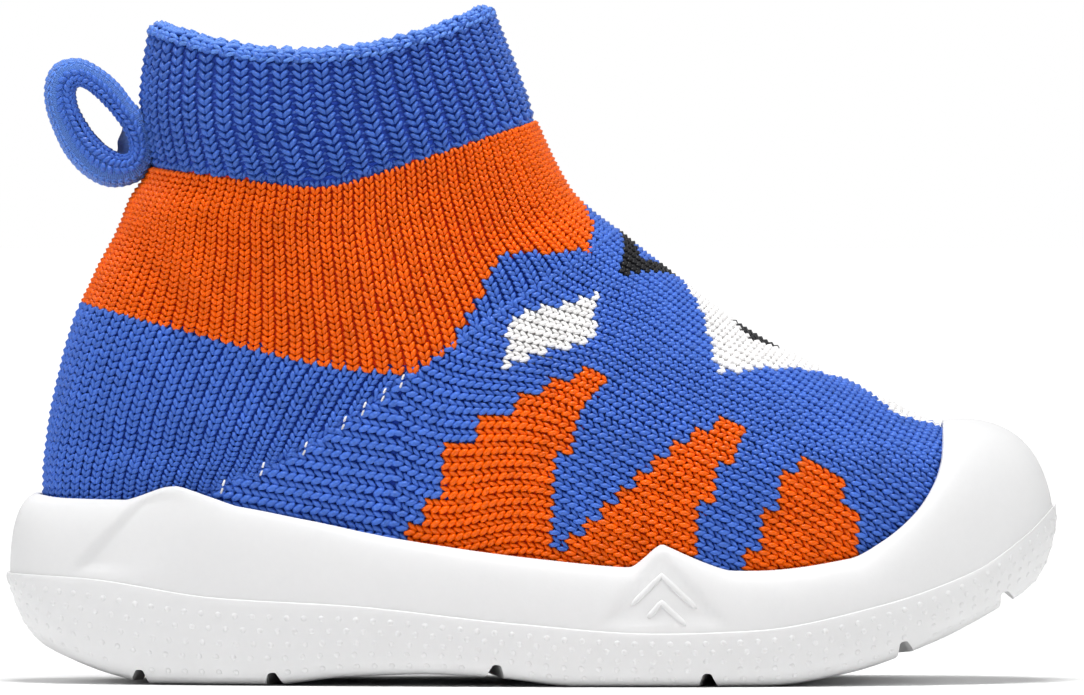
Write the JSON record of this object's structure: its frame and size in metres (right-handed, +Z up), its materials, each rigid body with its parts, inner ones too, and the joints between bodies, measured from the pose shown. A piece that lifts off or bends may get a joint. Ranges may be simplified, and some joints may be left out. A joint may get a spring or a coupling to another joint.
{
  "type": "sock shoe",
  "caption": "Toddler's slip-on sock shoe: a knitted sock upper with a ribbed cuff and a pull loop, set in a moulded rubber cup sole with a toe cap.",
  "frame": {"origin": "centre of the bounding box at the floor, under the middle of the sole", "axes": "+X from heel to toe, +Y to the inner side of the foot, +Z up from the floor"},
  "size_m": [0.138, 0.0619, 0.0894],
  "materials": {
    "sole_rubber": "satin white moulded rubber",
    "upper_knit": "knitted cotton in blue and orange",
    "insole_cloth": "plain cloth over foam",
    "loop_knit": "knitted strap"
  },
  "bodies": {
    "root": {"sole": "sole_rubber", "upper": "upper_knit", "insole": "insole_cloth", "pull_loop": "loop_knit"}
  },
  "joints": []
}
